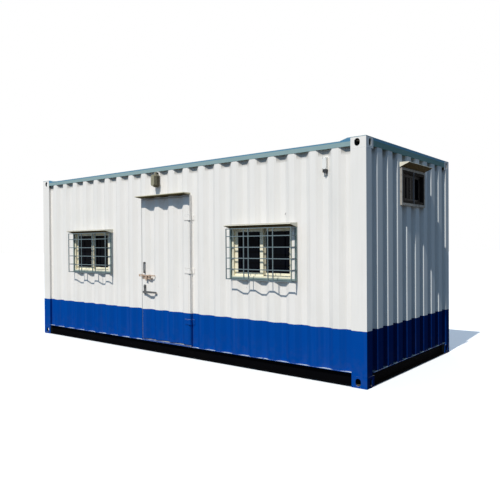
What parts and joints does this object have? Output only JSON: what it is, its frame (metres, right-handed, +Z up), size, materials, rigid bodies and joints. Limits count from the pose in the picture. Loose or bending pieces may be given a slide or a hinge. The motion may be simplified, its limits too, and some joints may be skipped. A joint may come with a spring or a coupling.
{
  "type": "portable site cabin",
  "caption": "Freight container converted to a site cabin: corrugated steel box with a side door, barred side windows and a small end window.",
  "frame": {"origin": "centre of the four bottom twistlock apertures, at ground level", "axes": "+X along the length towards the end with the small window, -Y out of the door side, +Z up"},
  "size_m": [6.167, 2.565, 2.591],
  "materials": {
    "frame_paint": "weathered semi-gloss alkyd paint",
    "wall_paint": "sprayed white enamel with a blue base band",
    "base_paint": "blue enamel on cast and rolled steel",
    "underseal": "matt bitumen underseal",
    "floor_board": "sealed plywood",
    "lining_board": "laminated wall board",
    "sill_steel": "worn blue enamel",
    "window_aluminium": "ivory powder coat",
    "window_glass": "float glass",
    "grille_paint": "brushed-on alkyd paint",
    "hood_paint": "brushed-on alkyd paint",
    "canopy_paint": "brown alkyd paint",
    "handle_steel": "dark oxidised steel",
    "bolt_steel": "zinc plate gone brown",
    "lamp_housing": "sun-faded moulded plastic",
    "box_plastic": "white moulded plastic"
  },
  "bodies": {
    "cabin": {"bottom_corner_castings": "base_paint", "top_corner_castings": "wall_paint", "corner_posts": "wall_paint", "bottom_side_rails": "base_paint", "bottom_end_rails": "base_paint", "top_side_rails": "frame_paint", "top_end_rails": "frame_paint", "header_plates": "frame_paint", "cross_members": "underseal", "floor": "floor_board", "front_wall_left": "wall_paint", "front_wall_right": "wall_paint", "front_wall_over_door": "wall_paint", "back_wall": "wall_paint", "right_end_wall": "wall_paint", "left_end_wall": "wall_paint", "roof_sheet": "frame_paint", "front_lining_left": "lining_board", "front_lining_right": "lining_board", "front_lining_over_door": "lining_board", "back_lining": "lining_board", "right_end_lining": "lining_board", "left_end_lining": "lining_board", "ceiling_lining": "lining_board", "door_surround": "wall_paint", "door_sill": "sill_steel", "hinge_wall_halves": "wall_paint", "bolt_keeper": "bolt_steel", "door_canopy": "canopy_paint", "window_frames": "window_aluminium", "window_sashes": "window_aluminium", "window_panes": "window_glass", "window_grilles": "grille_paint", "window_hoods": "hood_paint", "end_window_frame": "grille_paint", "end_window_sash": "window_aluminium", "end_window_panes": "window_glass", "end_window_hood": "hood_paint", "wall_lamp": "lamp_housing", "lamp_lens": "lamp_housing", "junction_box": "box_plastic", "rib_packings": "wall_paint"},
    "door": {"door_skin": "wall_paint", "door_leaf_frame": "wall_paint", "door_lining": "lining_board", "hinge_door_halves": "wall_paint", "pull_handle": "handle_steel", "bolt_guides": "bolt_steel", "lever_plate": "handle_steel"},
    "bolt": {"slide_bolt": "bolt_steel"},
    "lever": {"lever_handle": "handle_steel"}
  },
  "joints": [
    {"name": "door_hinge", "type": "hinge", "parent": "cabin", "child": "door", "pos_m": [0.504, -1.225, 1.146], "axis": [0, 0, 1], "range_deg": [0, 110]},
    {"name": "bolt_slide", "type": "slide", "parent": "door", "child": "bolt", "axis": [-1, 0, 0], "range_m": [0, 0.045]},
    {"name": "lever_turn", "type": "hinge", "parent": "door", "child": "lever", "pos_m": [-0.4, -1.236, 0.831], "axis": [0, 1, 0], "range_deg": [0, 40], "stiffness_Nm_per_rad": 2, "springref_deg": -80.21}
  ]
}
